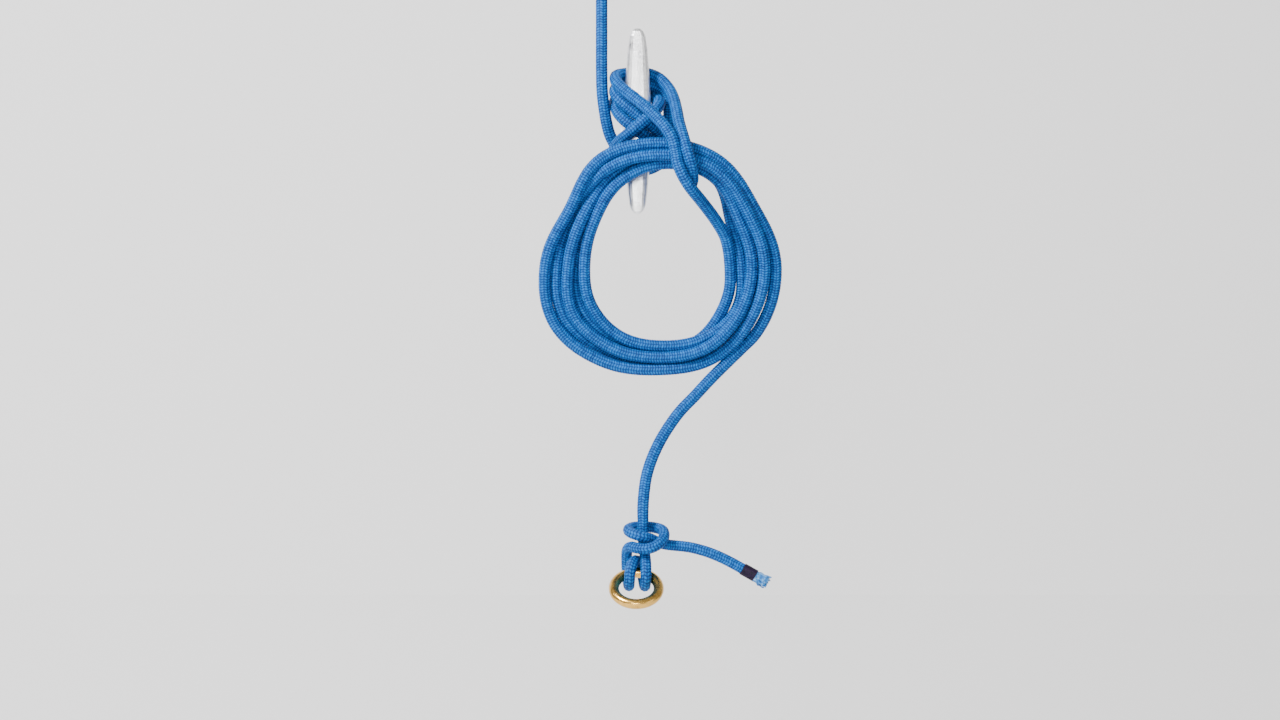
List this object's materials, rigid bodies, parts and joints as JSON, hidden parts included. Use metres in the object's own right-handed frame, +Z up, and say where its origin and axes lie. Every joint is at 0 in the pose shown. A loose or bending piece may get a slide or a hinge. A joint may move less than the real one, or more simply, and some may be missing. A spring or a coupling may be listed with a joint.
{
  "type": "dock line on a horn cleat",
  "caption": "Braided dock line hitched round a horn cleat, its slack hung as an oval coil, a metal ring knotted on the free end.",
  "frame": {"origin": "middle of the cleat's base pad, on the wall that it is screwed to", "axes": "+Z up the wall along the horns, +Y into the wall, +X to the right seen from in front"},
  "size_m": [0.2021, 0.109, 0.6794],
  "materials": {
    "cast_alloy": "satin",
    "stainless": "satin",
    "blue_braid": "matte",
    "dark_twine": "matte",
    "pale_core": "matte",
    "brass": "polished"
  },
  "bodies": {
    "cleat_and_turns": {"cleat": "cast_alloy", "cleat_screws": "stainless", "eye_loop": "blue_braid", "eye_throat_whipping": "dark_twine", "eye_bury": "blue_braid", "standing_part": "blue_braid", "base_turn": "blue_braid", "crossing_turn": "blue_braid", "locking_turn": "blue_braid", "hanging_bight": "blue_braid"},
    "hung_coil": {"coil_lead_in": "blue_braid", "coil": "blue_braid", "lead_line": "blue_braid"},
    "free_end": {"ring_hitch": "blue_braid", "tail": "blue_braid", "tail_whipping": "dark_twine", "cut_end": "pale_core"},
    "ring": {"hitch_ring": "brass"}
  },
  "joints": [
    {"name": "coil_swing", "type": "hinge", "parent": "cleat_and_turns", "child": "hung_coil", "pos_m": [0.0125, -0.058, -0.028], "axis": [0, 1, 0], "range_deg": [-3, 3]},
    {"name": "free_end_swing", "type": "hinge", "parent": "hung_coil", "child": "free_end", "pos_m": [0.0013, -0.02, -0.31825], "axis": [0, 1, 0], "range_deg": [-10, 10]},
    {"name": "ring_tilt", "type": "hinge", "parent": "free_end", "child": "ring", "pos_m": [-0.001, -0.022, -0.372], "axis": [1, 0, 0], "range_deg": [-20, 8]}
  ]
}
